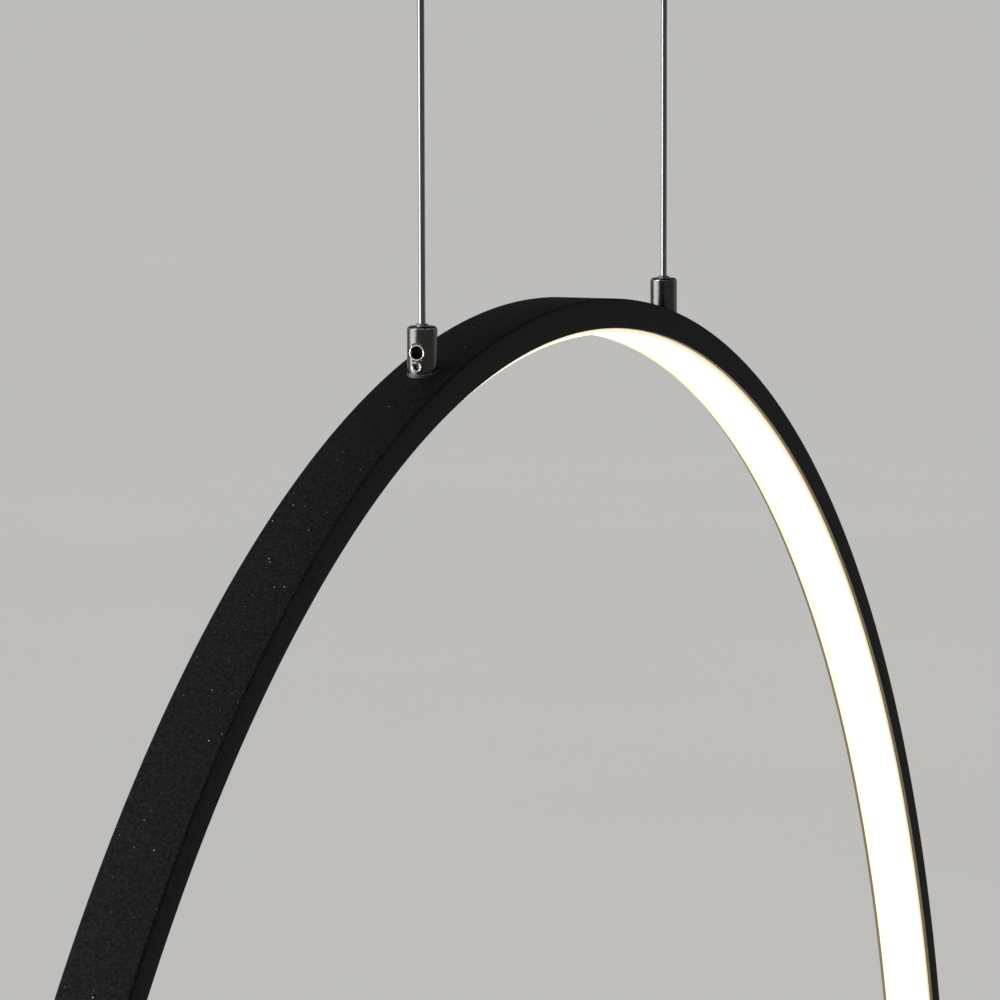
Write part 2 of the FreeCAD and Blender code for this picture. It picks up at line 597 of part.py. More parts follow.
def bracket():
    """Pressed steel channel, screwed to the ceiling; everything in the canopy hangs from it."""
    body = box(-BRACKET_END, BRACKET_END, -BRACKET_Y, BRACKET_Y, -BRACKET_T, 0)
    for side in (-1, 1):
        wall = box(-BRACKET_END, BRACKET_END, -BRACKET_T, 0, -BRACKET_FLANGE, 0)
        wall.translate(Vector(0, side * BRACKET_Y + (0 if side > 0 else BRACKET_T), 0))
        body = body.fuse(wall)
    body = body.removeSplitter()
    slot_reach = SLOT_LENGTH / 2 - SLOT_R
    tools = []
    for side in (-1, 1):
        x = side * SLOT_X
        tools.append(box(x - slot_reach, x + slot_reach, -SLOT_R, SLOT_R, -OVERRUN, OVERRUN))
        tools.append(upright(x - slot_reach, 0, -OVERRUN, OVERRUN, SLOT_R))
        tools.append(upright(x + slot_reach, 0, -OVERRUN, OVERRUN, SLOT_R))
    tools.append(upright(ENTRY_X, 0, -OVERRUN, OVERRUN, ENTRY_R + GROMMET_WALL))
    tools.append(upright(EARTH_X, EARTH_Y, -OVERRUN, OVERRUN, EARTH_SCREW_R + FIT))
    for x in block_pegs():
        tools.append(upright(x, 0, -OVERRUN, OVERRUN, POLE_SCREW_R + EASE))
    for x, y in driver_ears():
        tools.append(upright(x, y, -OVERRUN, OVERRUN, DRIVER_SCREW_R + FIT))
    for place, inward in canopy_screw_places():
        tools.append(rod(place, inward, CANOPY_SCREW_L, CANOPY_SCREW_R + FIT))
    save("ceiling_bracket", body.cut(tools))

    grommet_r = ENTRY_R + GROMMET_WALL
    grommet = upright(ENTRY_X, 0, -BRACKET_T - GROMMET_WALL, -RIM_GAP, grommet_r - EASE)
    lip = upright(ENTRY_X, 0, -BRACKET_T - GROMMET_WALL, -BRACKET_T, grommet_r + GROMMET_LIP)
    grommet = grommet.fuse(lip).removeSplitter()
    save("entry_grommet", grommet.cut(upright(ENTRY_X, 0, -2 * OVERRUN, OVERRUN, ENTRY_R)))
    earth = pan_screw(Vector(EARTH_X, EARTH_Y, -BRACKET_T), Vector(0, 0, 1), EARTH_SCREW_R,
                      BRACKET_T - RIM_GAP, EARTH_SCREW_R * 0.7)
    save("earth_screw", earth)


def pole_y(i):
    return (i - (POLES - 1) / 2) * POLE_PITCH


def terminal_block():
    half_w = POLES * POLE_PITCH / 2
    end = BLOCK_X + BLOCK_L
    low = -BRACKET_T - BLOCK_H
    block = box(BLOCK_X, end, -half_w, half_w, low, -BRACKET_T)
    for x in block_pegs():
        block = block.fuse(upright(x, 0, -BRACKET_T, -RIM_GAP, POLE_SCREW_R))
    block = block.removeSplitter()
    screws = []
    for i in range(POLES):
        y = pole_y(i)
        start = Vector(BLOCK_X - OVERRUN, y, LEAD_Z)
        block = block.cut(rod(start, Vector(1, 0, 0), BLOCK_L + 2 * OVERRUN, POLE_BORE_R))
        for x in block_pegs():
            block = block.cut(upright(x, y, low - OVERRUN, LEAD_Z, POLE_SCREW_R + FIT))
            screw = upright(x, y, low + POLE_SCREW_R / 2, LEAD_Z - LEAD_R, POLE_SCREW_R)
            cross = box(x - POLE_SCREW_R, x + POLE_SCREW_R, y - SCREW_SLOT / 2, y + SCREW_SLOT / 2,
                        low, low + POLE_SCREW_R)
            screws.append(screw.cut(cross))
    save("terminal_block", block)
    save("terminal_screws", *screws)


def driver():
    """Constant-voltage driver: base plate with ears, case, board and its largest components."""
    half_w = DRIVER_W / 2
    floor = DRIVER_TOP - DRIVER_H
    base = box(DRIVER_X, DRIVER_END, -half_w, half_w, DRIVER_TOP, -BRACKET_T)
    screws = []
    for x, y in driver_ears():
        ear = box(x - DRIVER_EAR, x + DRIVER_EAR, min(0, 2 * y - math.copysign(half_w, y)),
                  max(0, 2 * y - math.copysign(half_w, y)), DRIVER_TOP, -BRACKET_T)
        base = base.fuse(ear)
        screws.append(pan_screw(Vector(x, y, DRIVER_TOP), Vector(0, 0, 1), DRIVER_SCREW_R,
                                BRACKET_T + DRIVER_BASE_T - RIM_GAP, DRIVER_SCREW_R * 0.7))
    for x, y in driver_ears():
        base = base.cut(upright(x, y, DRIVER_TOP - OVERRUN, 0, DRIVER_SCREW_R + FIT))
    inset = DRIVER_WALL + EASE + BOARD_POST_R
    for x in (DRIVER_X + inset, DRIVER_END - inset):
        for y in (-half_w + inset, half_w - inset):
            base = base.fuse(upright(x, y, DRIVER_TOP - BOARD_POST_H, DRIVER_TOP, BOARD_POST_R))
    save("driver_base", base.removeSplitter())
    save("driver_screws", *screws)

    case = box(DRIVER_X, DRIVER_END, -half_w, half_w, floor, DRIVER_TOP)
    case = case.makeFillet(DRIVER_WALL, edges_at(case, floor))
    hollow = box(DRIVER_X + DRIVER_WALL, DRIVER_END - DRIVER_WALL, -half_w + DRIVER_WALL,
                 half_w - DRIVER_WALL, floor + DRIVER_WALL, DRIVER_TOP + OVERRUN)
    case = case.cut(hollow)
    for x, y in driver_lead_places():
        case = case.cut(rod(Vector(x - 2 * DRIVER_WALL, y, DRIVER_LEAD_Z), Vector(1, 0, 0),
                            4 * DRIVER_WALL, LEAD_R + EASE))
    save("driver_case", case)

    board_z = DRIVER_TOP - BOARD_POST_H
    edge = DRIVER_WALL + EASE
    board = box(DRIVER_X + edge, DRIVER_END - edge, -half_w + edge, half_w - edge,
                board_z - BOARD_T, board_z)
    save("driver_board", board)
    length, width, height = TRANSFORMER
    middle = DRIVER_X + DRIVER_L / 2
    under = board_z - BOARD_T
    save("driver_transformer", box(middle - length / 2, middle + length / 2, -width / 2, width / 2,
                                   under - height, under))
    cans = []
    for x in (middle - CAPACITOR_X, middle + CAPACITOR_X):
        for y in (-CAPACITOR_Y, CAPACITOR_Y):
            cans.append(upright(x, y, under - CAPACITOR_H, under, CAPACITOR_R))
    save("driver_capacitors", *cans)


def driver_lead_places():
    """Where the leads pass through the case: the supply side, then the output side."""
    for i in (1, 2):
        yield DRIVER_X, pole_y(i) - POLE_PITCH / 2
    for side in (-1, 1):
        yield DRIVER_END, side * DRIVER_LEAD_Y


def wiring():
    places = list(driver_lead_places())
    end = BLOCK_X + BLOCK_L
    inside = DRIVER_WALL + EASE
    supply = []
    for i in (1, 2):
        x, y = places[i - 1]
        gap = x - end
        supply.append(lead([(end - POLE_BORE_R, pole_y(i), LEAD_Z), (end + 0.3 * gap, pole_y(i), LEAD_Z),
                            (x - 0.3 * gap, y, DRIVER_LEAD_Z), (x + inside, y, DRIVER_LEAD_Z)], LEAD_R))
    save("supply_leads", *supply)

    head_side = EARTH_X - EARTH_SCREW_R - SCREW_HEAD - EASE
    earth_z = -BRACKET_T - LEAD_R - EASE
    turn_x = BLOCK_X - 0.7 * POLE_PITCH
    earth = lead([(BLOCK_X + POLE_BORE_R, pole_y(0), LEAD_Z), (turn_x, pole_y(0), LEAD_Z),
                  (turn_x, EARTH_Y, 0.5 * (LEAD_Z + earth_z)), (head_side, EARTH_Y, earth_z)], LEAD_R)
    save("earth_lead", earth)

    x, y = places[2]
    gap = LUG_X - x
    near = lead([(x - inside, y, DRIVER_LEAD_Z), (x + 0.35 * gap, y, DRIVER_LEAD_Z),
                 (x + 0.65 * gap, 0, LUG_Z), (LUG_X, 0, LUG_Z)], LEAD_R)
    save("output_lead_right", near)

    x, y = places[3]
    side_y = (DRIVER_W / 2 + BRACKET_Y - BRACKET_T) / 2
    far = lead([(x - inside, y, DRIVER_LEAD_Z), (x + 0.45 * gap, y, DRIVER_LEAD_Z),
                (x + 0.45 * gap, side_y, DRIVER_LEAD_Z),
                (0.35 * x, side_y - LEAD_WANDER, DRIVER_LEAD_Z - 2 * LEAD_WANDER),
                (-0.3 * x, side_y + 0.6 * LEAD_WANDER, DRIVER_LEAD_Z - 3 * LEAD_WANDER),
                (BLOCK_X + 0.7 * BLOCK_L, side_y - LEAD_WANDER, LUG_Z + LEAD_WANDER),
                (BLOCK_X, 0.3 * side_y, LUG_Z), (LEAD_TAIL - LUG_X, 0, LUG_Z), (-LUG_X, 0, LUG_Z)], LEAD_R)
    save("output_lead_left", far)


profile()
diffuser()
light_strip()
splice()
for SIDE, NAME in ((-1, "left"), (1, "right")):
    barrel(SIDE, NAME)
    collar(SIDE, NAME)
    foot(SIDE, NAME)
    cable(SIDE, NAME)
    cable_exit(SIDE, NAME)
canopy()
bracket()
terminal_block()
driver()
wiring()
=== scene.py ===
import json
import math

import bmesh
import bpy
from mathutils import Matrix, Vector


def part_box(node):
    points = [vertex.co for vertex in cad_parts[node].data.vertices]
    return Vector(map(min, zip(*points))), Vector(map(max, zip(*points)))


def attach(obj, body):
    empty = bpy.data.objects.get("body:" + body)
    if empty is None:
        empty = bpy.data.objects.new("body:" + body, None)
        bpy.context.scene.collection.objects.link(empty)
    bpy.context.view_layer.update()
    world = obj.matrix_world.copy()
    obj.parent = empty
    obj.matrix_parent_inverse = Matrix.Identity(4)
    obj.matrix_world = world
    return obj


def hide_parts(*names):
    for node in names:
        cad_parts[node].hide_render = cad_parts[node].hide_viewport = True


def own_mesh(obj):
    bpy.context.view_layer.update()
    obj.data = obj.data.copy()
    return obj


# Vertical LED hoop pendant. Metres, +Z up, +X along the canopy in the hoop's plane, +Y the hoop's axis.
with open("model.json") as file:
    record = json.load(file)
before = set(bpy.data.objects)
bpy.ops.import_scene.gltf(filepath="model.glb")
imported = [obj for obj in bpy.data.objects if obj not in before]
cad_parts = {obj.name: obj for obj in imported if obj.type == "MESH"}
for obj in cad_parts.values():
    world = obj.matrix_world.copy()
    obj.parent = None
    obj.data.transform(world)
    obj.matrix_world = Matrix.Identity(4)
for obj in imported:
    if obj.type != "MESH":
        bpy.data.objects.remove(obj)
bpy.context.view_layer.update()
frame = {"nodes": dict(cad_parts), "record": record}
MM = 0.001
SIDES = (("left", -1), ("right", 1))

# ---- sizes read from the frame ----
HOOP_LOW, HOOP_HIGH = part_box("hoop_profile")
HOOP_R = HOOP_HIGH.z - (HOOP_HIGH.z + HOOP_LOW.z) / 2
HOOP_Z = (HOOP_HIGH.z + HOOP_LOW.z) / 2
PROFILE_W = HOOP_HIGH.y - HOOP_LOW.y
CABLE_LOW, CABLE_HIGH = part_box("suspension_cable_right")
CABLE_R = (CABLE_HIGH.y - CABLE_LOW.y) / 2
EXIT_X = (CABLE_HIGH.x + CABLE_LOW.x) / 2
BARREL_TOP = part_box("gripper_barrel_right")[1].z
BARREL_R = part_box("gripper_barrel_right")[1].y
FOOT_Z = HOOP_Z + math.sqrt(HOOP_R ** 2 - EXIT_X ** 2)
COLLAR_LOW, COLLAR_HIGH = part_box("release_collar_right")
SCREWS_LOW, SCREWS_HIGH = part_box("canopy_screws")

# ---- sizes repeated from the CAD part ----
PROFILE_DEPTH = 8.6 * MM
WEB_T = 1.2 * MM
FLANGE_T = 1.2 * MM
CORNER_R = 0.8 * MM
TIP_R = 0.3 * MM
LEDGE_W = 1.9 * MM
SLOT_DEPTH = 1.6 * MM
DIFFUSER_T = 1.2 * MM
DIFFUSER_PROUD = 1.5 * MM
DIFFUSER_CORNER_R = 0.8 * MM
DIFFUSER_LEG = 3.5 * MM
DIFFUSER_GAP = 0.6 * MM
SIDE_GAP = 0.2 * MM
LED_COUNT = 150
BUSH_FLANGE_T = 0.5 * MM
BARREL_CHAMFER = 0.6 * MM
MOUTH_R = 2.1 * MM
SIDE_HOLE_R = 1.7 * MM
SIDE_HOLE_HEIGHT = 5.6 * MM
GRUB_R = 1.5 * MM
GRUB_HEIGHT = 1.9 * MM
GRUB_PROUD = 0.4 * MM
STUD_R = 1.5 * MM
CANOPY_HALF_W = 31 * MM
CANOPY_SCREW_R = 1.5 * MM
SCREW_HEAD_R = 3.0 * MM

# ---- how finely the pieces are made ----
CORNER_STEPS = 6
HOOP_STEPS = 900
CABLE_LEVELS = 12
CABLE_SIDES = 24
BARREL_SIDES = 96
SMALL_SIDES = 64
SCREW_SIDES = 40
HEXAGON = 6
EYELET_STEPS = 16
GRUB_LIP_STEPS = 10
SHARP_EDGE = math.radians(32)
MERGE_DISTANCE = MM / 1000
FACE_TOLERANCE = 0.01 * MM
FIRST, SECOND, THIRD = 0, 1, 2    # numbers of a piece's finishes

# ---- finer sizes, of the scene's own pieces ----
SEAM_GAP = 0.02 * MM              # the channel's ends, butted and coated over
MOUTH_FLOOR = COLLAR_LOW.z - 0.5 * MM      # room for the collar and the cable's end when the cable leans
COPE_DEPTH = 3.0 * MM             # barrel below its foot's middle, before it is coped to the hoop
WORN_STEP = 0.1 * MM              # worn bands at the barrel's foot and shoulder
FOOT_BAND = 0.35 * MM
SHOULDER_BAND = 0.14 * MM
WALL_SPLIT = 2.3 * MM             # row of the barrel's wall between the side hole and the foot
TOP_BREAK = (0.08 * MM, 0.05 * MM)         # inwards, down
MOUTH_CHAMFER = 0.15 * MM
SIDE_FLAT_R = 2.65 * MM
SIDE_FLAT_DEPTH = 0.3 * MM
SIDE_HOLE_FLOOR = 0.2 * MM
GRUB_CLEARANCE = 0.08 * MM
EYELET_R = 1.93 * MM
EYELET_WIRE_R = 0.19 * MM
EYELET_SUNK = 0.12 * MM
GRUB_LIP = 0.3 * MM
GRUB_SOCKET_R = 0.87 * MM
GRUB_SOCKET_DEPTH = 1.3 * MM
COLLAR_GAP = 0.05 * MM
COLLAR_LIP = 0.22 * MM
COLLAR_LIP_STEP = 0.07 * MM
SCREW_LENGTH = 6.0 * MM
SCREW_POINT = (0.3 * MM, 0.4 * MM)         # inwards, up
SCREW_HEAD_CURVE = ((1.0, 0.5), (0.96, 0.72), (0.85, 0.9), (0.7, 1.0))     # parts of its radius and height
SCREW_SOCKET_R = 1.2 * MM
SCREW_SOCKET_FLOOR = 0.45         # part of the head's height

# ---- glow and dust ----
LIGHT_STRENGTH = 6.0
DUST = ((380.0, 0.06, 4.0), (820.0, 0.09, 0.7))     # cells per metre, speck in a cell, strength

# ---- camera, fitted to the hoop's edges, the grippers and the cables in the photograph ----
CAMERA_PLACE = Vector((-1.258, -0.4626, -0.0322))
CAMERA_YAW = math.radians(69.19)      # from +Y towards +X
CAMERA_PITCH = math.radians(-6.56)
CAMERA_ROLL = math.radians(-0.14)
CAMERA_LENS = 171.8
SENSOR = 36.0

# ---- studio ----
WORLD_COLOUR = (0.9, 0.9, 0.91, 1)
WORLD_STRENGTH = 0.23
SOFT_BOXES = (      # name, place, aim, (width, height), watts, colour
    ("window", (-1.05, 1.4, -0.2), (0, 0, -0.35), (1.6, 0.65), 47.0, (1.0, 0.99, 0.97)),
    ("strip", (1.15, -1.25, -0.1), (0, 0, -0.25), (0.2, 1.3), 1.5, (1.0, 0.98, 0.95)),
)
SKY_STRENGTH = 1.8
SKY_SPREAD = math.radians(60)
SKY_TILT = (math.radians(-12), math.radians(-20), 0)
FLOOR_HALF = 300.0
FLOOR_Z = -3.2


# ---- node trees ----

class Value:
    """A socket of a node tree; arithmetic on it adds Math nodes."""

    def __init__(self, tree, socket):
        self.tree = tree
        self.socket = socket

    def math(self, operation, *terms):
        """One Math node; this socket is its first term."""
        terms = dict(enumerate((self, *terms)))
        return self.tree.node("ShaderNodeMath", {"operation": operation}, terms)

    def __add__(self, other):
        return self.math("ADD", other)

    def __sub__(self, other):
        return self.math("SUBTRACT", other)

    def __rsub__(self, other):
        return self.math("MULTIPLY", -1.0).math("ADD", other)

    def __mul__(self, other):
        return self.math("MULTIPLY", other)

    def __truediv__(self, other):
        return self.math("DIVIDE", other)

    def above(self, level):
        return self.math("GREATER_THAN", level)

    def below(self, level):
        return self.math("LESS_THAN", level)

    __radd__ = __add__
    __rmul__ = __mul__


class Tree:
    """Adds nodes to a shader tree or a Geometry Nodes tree."""

    def __init__(self, tree):
        self.tree = tree

    def node(self, kind, settings=None, sockets=None, out=0):
        """One node: its settings are set first, then the values or links of its sockets."""
        made = self.tree.nodes.new(kind)
        for name, value in (settings or {}).items():
            if name == "stops":
                set_stops(made.color_ramp, value)
            else:
                setattr(made, name, value)
        for key, value in (sockets or {}).items():
            if isinstance(value, Value):
                self.tree.links.new(value.socket, made.inputs[key])
            else:
                made.inputs[key].default_value = value
        return Value(self, made.outputs[out])


def set_stops(ramp, stops):
    """Colour ramp stops as (position, grey level or RGB colour)."""
    while len(ramp.elements) < len(stops):
        ramp.elements.new(1.0)
    for element, (position, colour) in zip(ramp.elements, stops):
        element.position = position
        element.color = rgba(colour)


def rgba(colour):
    if isinstance(colour, (int, float)):
        return colour, colour, colour, 1.0
    return (*colour, 1.0)


class Finish(Tree):
    """One material: a Principled shader with patterns on Object coordinates."""

    def __init__(self, name, **constants):
        self.material = bpy.data.materials.new(name)
        self.material.use_nodes = True
        super().__init__(self.material.node_tree)
        self.shader = self.tree.nodes["Principled BSDF"]
        self.place = self.node("ShaderNodeTexCoord", out="Object")
        self.set(**constants)

    def set(self, **sockets):
        """Sets Principled sockets; an underscore in a name stands for a space."""
        for name, value in sockets.items():
            socket = self.shader.inputs[name.replace("_", " ")]
            if isinstance(value, Value):
                self.tree.links.new(value.socket, socket)
            else:
                socket.default_value = value

    def noise(self, scale, detail=2.0, roughness=0.5, place=None):
        return self.node("ShaderNodeTexNoise", None, {
            "Vector": place or self.place, "Scale": scale, "Detail": detail, "Roughness": roughness})

    def cells(self, scale, out="Distance"):
        return self.node("ShaderNodeTexVoronoi", None, {"Vector": self.place, "Scale": scale}, out)

    def stretched(self, x, y, z):
        """Object coordinates, each axis times its own factor."""
        return self.node("ShaderNodeMapping", None, {"Vector": self.place, "Scale": (x, y, z)})

    def axis(self, name):
        return self.node("ShaderNodeSeparateXYZ", None, {0: self.place}, name)

    def ramp(self, value, *stops):
        return self.node("ShaderNodeValToRGB", {"stops": stops}, {0: value})

    def mix(self, factor, first, second):
        """Colour mix; each colour is an RGB triple or a Value."""
        sockets = {0: factor}
        for key, colour in ((6, first), (7, second)):
            sockets[key] = colour if isinstance(colour, Value) else rgba(colour)
        return self.node("ShaderNodeMix", {"data_type": "RGBA"}, sockets, 2)

    def grey(self, colour):
        return self.node("ShaderNodeRGBToBW", None, {0: colour})

    def bump(self, height, distance, strength=1.0):
        normal = self.node("ShaderNodeBump", None, {
            "Height": height, "Distance": distance, "Strength": strength}, "Normal")
        self.set(Normal=normal)


# ---- finishes: scales are in cells per metre ----

def powder_coat(name, colour, grain):
    """Fine-texture powder coat: a tight grain, faint clouds and a few light specks of dust."""
    finish = Finish(name, Specular_IOR_Level=0.06)
    fine = finish.noise(grain, 3.0, 0.6)
    mottle = finish.grey(finish.ramp(finish.noise(0.45 * grain, 4.0, 0.7), (0.36, 0.0), (0.64, 1.0)))
    dust = 0.0
    for scale, size, strength in DUST:
        lightness = finish.grey(finish.cells(scale, "Color")).math("POWER", 6.0)
        dust = finish.cells(scale).below(size) * lightness * strength + dust
    base = finish.mix(mottle, [0.35 * c for c in colour], [2.4 * c for c in colour])
    finish.set(Base_Color=finish.mix(dust, base, (0.5, 0.48, 0.45)), Roughness=0.55 + 0.25 * fine)
    finish.bump(fine, 0.06 * MM, 0.6)
    return finish.material


def cable_sheath():
    finish = Finish("cable_sheath", IOR=1.9)
    wander = finish.noise(400.0, 2.0)
    finish.set(Base_Color=finish.mix(wander, (0.005, 0.005, 0.006), (0.01, 0.01, 0.011)),
               Roughness=0.17 + 0.05 * wander)
    finish.bump(finish.noise(1500.0), 0.002 * MM, 0.3)
    return finish.material


def plated(name, colour, roughness, turning=9000.0, metallic=1.0, uneven=0.0):
    """Turned and plated metal: faint tool rings along Z, on a surface that may be uneven."""
    finish = Finish(name, Metallic=metallic)
    rings = finish.noise(1.0, 2.0, 0.5, finish.stretched(60.0, 60.0, turning))
    stain = finish.noise(350.0, 3.0)
    finish.set(Base_Color=finish.mix(stain, colour, [0.72 * c for c in colour]),
               Roughness=roughness + 0.1 * stain + 0.04 * rings)
    finish.bump(rings + uneven * finish.noise(1100.0, 3.0), 0.004 * MM, 0.5)
    return finish.material


def worn_edge(name, chip_scale, roughness):
    """Edge where the black plating has chipped in places and bright metal shows."""
    finish = Finish(name, Metallic=0.8)
    chips = finish.ramp(finish.noise(chip_scale, 4.0, 0.7), (0.47, 0.0), (0.56, 1.0))
    finish.set(Base_Color=finish.mix(chips, (0.09, 0.085, 0.08), (0.95, 0.93, 0.9)),
               Roughness=roughness - 0.2 * finish.grey(chips))
    finish.bump(finish.grey(chips), 0.01 * MM, 0.6)
    return finish.material


def opal_light():
    """Lit opal trough: its glow is warm white, dimmed to cream by painted shade along both edges, in a wider
    band along the +Y edge that waves with the light chips.
    """
    finish = Finish("opal_light", Roughness=0.45, Emission_Strength=LIGHT_STRENGTH)
    half_width = PROFILE_W / 2 - FLANGE_T - SIDE_GAP
    turn = finish.axis("X").math("ARCTAN2", finish.axis("Z") - HOOP_Z)
    between = (turn * LED_COUNT).math("COSINE")
    edge = finish.axis("Y") / half_width
    across = 0.5 + 0.5 * edge + 0.02 * between * edge.math("MAXIMUM", 0.0)
    cloud = finish.noise(60.0, 2.0)
    # painted shade: the emission falls to cream near both edges, more widely along the +Y edge, standing in for
    # the walls' shade
    glow = finish.ramp(
        across,
        (0.0, (0.12, 0.105, 0.072)), (0.04, (0.35, 0.33, 0.27)),
        (0.1, (1.0, 0.97, 0.92)), (0.72, (1.0, 0.97, 0.9)),
        (0.8, (0.118, 0.108, 0.083)), (0.91, (0.095, 0.079, 0.046)),
        (0.95, (0.075, 0.06, 0.034)), (1.0, (0.055, 0.042, 0.02)))
    finish.set(Base_Color=finish.mix(cloud, (0.6, 0.57, 0.51), (0.64, 0.62, 0.57)), Emission_Color=glow)
    finish.bump(finish.noise(2500.0), 0.01 * MM, 0.3)
    return finish.material


def zinc_sheet():
    """Zinc-plated steel sheet with soft crystal grain and rolling lines along X."""
    finish = Finish("zinc_sheet", Metallic=1.0)
    crystals = finish.grey(finish.cells(160.0, "Color"))
    lines = finish.noise(1.0, 3.0, 0.6, finish.stretched(25.0, 1400.0, 1400.0))
    finish.set(Base_Color=finish.mix(crystals, (0.5, 0.51, 0.52), (0.66, 0.67, 0.68)),
               Roughness=0.28 + 0.18 * crystals + 0.12 * lines)
    finish.bump(lines, 0.01 * MM, 0.4)
    return finish.material


def moulded(name, colour, grain=1800.0, roughness=0.5):
    """Moulded plastic with a fine spark-eroded texture."""
    finish = Finish(name)
    skin = finish.noise(grain, 2.0)
    flow = finish.noise(70.0, 3.0)
    finish.set(Base_Color=finish.mix(flow, colour, [0.82 * c for c in colour]),
               Roughness=roughness + 0.14 * skin)
    finish.bump(skin, 0.02 * MM, 0.5)
    return finish.material


def circuit_board(name, mask, copper):
    """Solder mask over tracks that run in steps along X and Y."""
    finish = Finish(name)
    tracks = finish.node("ShaderNodeTexBrick", {"offset": 0.5}, {
        "Vector": finish.place, "Scale": 180.0, "Mortar Size": 0.06}, "Fac")
    finish.set(Base_Color=finish.mix(tracks, mask, copper), Roughness=0.3 + 0.15 * finish.noise(900.0))
    finish.bump(tracks, 0.03 * MM, 0.6)
    return finish.material


def wound_tape(name, colour):
    """Tape wound over a coil: overlapping edges along Z."""
    finish = Finish(name)
    laps = finish.node("ShaderNodeTexWave", {"bands_direction": "Z"}, {
        "Vector": finish.place, "Scale": 320.0, "Distortion": 0.4})
    finish.set(Base_Color=finish.mix(laps, colour, [0.6 * c for c in colour]), Roughness=0.35 + 0.2 * laps)
    finish.bump(laps, 0.04 * MM, 0.6)
    return finish.material


HOOP_COAT = powder_coat("hoop_coat", (0.0045, 0.0045, 0.0045), 2600.0)
CANOPY_COAT = powder_coat("canopy_coat", (0.005, 0.005, 0.005), 2200.0)
BLACK_NICKEL = plated("black_nickel", (0.056, 0.055, 0.054), 0.21, uneven=16.0)
TURNED_EDGE = worn_edge("turned_edge", 1300.0, 0.34)
EYELET_BRIGHT = plated("eyelet_bright", (0.7, 0.62, 0.5), 0.2, metallic=0.75, uneven=10.0)
SCREW_BLACK = plated("screw_black", (0.12, 0.12, 0.12), 0.22)
SCREW_BEVEL = worn_edge("screw_bevel", 820.0, 0.36)
# flange tips and inner walls: bare metal, whose tan colour is partly painted light from the diffuser's warm glow
LIP_BARE_AND_PAINTED_GLOW = plated("bare_lip", (0.2, 0.155, 0.1), 0.4, 700.0, metallic=0.1)
COLLAR_STEEL = plated("collar_steel", (0.22, 0.22, 0.22), 0.3, metallic=0.85)
ZINC = plated("zinc_plate", (0.62, 0.62, 0.6), 0.25)
BRASS = plated("turned_brass", (0.72, 0.5, 0.22), 0.24)
TIN = plated("tin_plate", (0.7, 0.7, 0.71), 0.35)
SHEATH = cable_sheath()
OPAL = opal_light()
ZINC_SHEET = zinc_sheet()
NYLON_BLACK = moulded("nylon_black", (0.014, 0.014, 0.015))
NYLON_NATURAL = moulded("nylon_natural", (0.74, 0.71, 0.63))
RUBBER = moulded("grommet_rubber", (0.02, 0.02, 0.02), 900.0, 0.7)
DRIVER_SHELL = moulded("driver_shell", (0.72, 0.71, 0.68), 1500.0)
SLEEVE = moulded("capacitor_sleeve", (0.02, 0.025, 0.07), 700.0, 0.22)
MILL_FINISH = plated("mill_finish", (0.72, 0.72, 0.72), 0.38, 500.0)
BOARD = circuit_board("driver_board", (0.02, 0.13, 0.05), (0.06, 0.26, 0.1))
STRIP = circuit_board("strip_board", (0.8, 0.79, 0.75), (0.7, 0.66, 0.55))
PHOSPHOR = moulded("led_phosphor", (0.9, 0.68, 0.22), 3000.0, 0.3)
TAPE = wound_tape("winding_tape", (0.75, 0.52, 0.06))
LEAD_RED = moulded("lead_red", (0.42, 0.02, 0.02), 900.0, 0.35)
LEAD_BLACK = moulded("lead_black", (0.012, 0.012, 0.012), 900.0, 0.35)
LEAD_BROWN = moulded("lead_brown", (0.12, 0.045, 0.018), 900.0, 0.35)
LEAD_EARTH = moulded("lead_earth", (0.2, 0.36, 0.03), 900.0, 0.35)

# material slot of the record -> finish
SLOT_FINISH = {
    "hoop_black": HOOP_COAT, "canopy_black": CANOPY_COAT, "gripper_black": BLACK_NICKEL,
    "collar_steel": COLLAR_STEEL, "screw_black": SCREW_BLACK, "cable_black": SHEATH,
    "diffuser_opal": OPAL, "led_yellow": PHOSPHOR, "strip_white": STRIP, "zinc_steel": ZINC,
    "brass": BRASS, "tin": TIN, "nylon_black": NYLON_BLACK, "nylon_natural": NYLON_NATURAL,
    "grommet_rubber": RUBBER, "driver_white": DRIVER_SHELL, "board_green": BOARD,
    "transformer_yellow": TAPE, "capacitor_sleeve": SLEEVE, "splice_aluminium": MILL_FINISH,
    "lead_red": LEAD_RED, "lead_black": LEAD_BLACK, "lead_brown": LEAD_BROWN, "lead_earth": LEAD_EARTH,
}
# nodes with a finish of their own, because their slot's turned one doesn't suit pressed sheet
NODE_FINISH = {"ceiling_bracket": ZINC_SHEET}
NODE_SLOT = {part["node"]: part["material_slot"] for part in frame["record"]["subparts"]}
NODE_BODY = {node: body for body, nodes in frame["record"]["behaviour"]["bodies"].items() for node in nodes}


# ---- pieces ----

def piece(name, mesh, node, *materials):
    """Links a mesh as the piece that stands for a CAD node, on that node's body."""
    numbers = [face.material_index for face in mesh.polygons]
    mesh.materials.clear()
    for material in materials or (SLOT_FINISH[NODE_SLOT[node]],):
        mesh.materials.append(material)
    mesh.polygons.foreach_set("material_index", numbers)
    made = bpy.data.objects.new(name, mesh)
    bpy.context.scene.collection.objects.link(made)
    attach(made, NODE_BODY[node])
    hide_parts(node)
    return made


def mesh_of(bm, name):
    """Turns a bmesh into a mesh with smooth faces, and sharp edges past SHARP_EDGE."""
    bm.normal_update()
    for face in bm.faces:
        face.smooth = True
    for edge in bm.edges:
        edge.smooth = len(edge.link_faces) == 2 and edge.calc_face_angle(0.0) < SHARP_EDGE
    mesh = bpy.data.meshes.new(name)
    bm.to_mesh(mesh)
    bm.free()
    return mesh


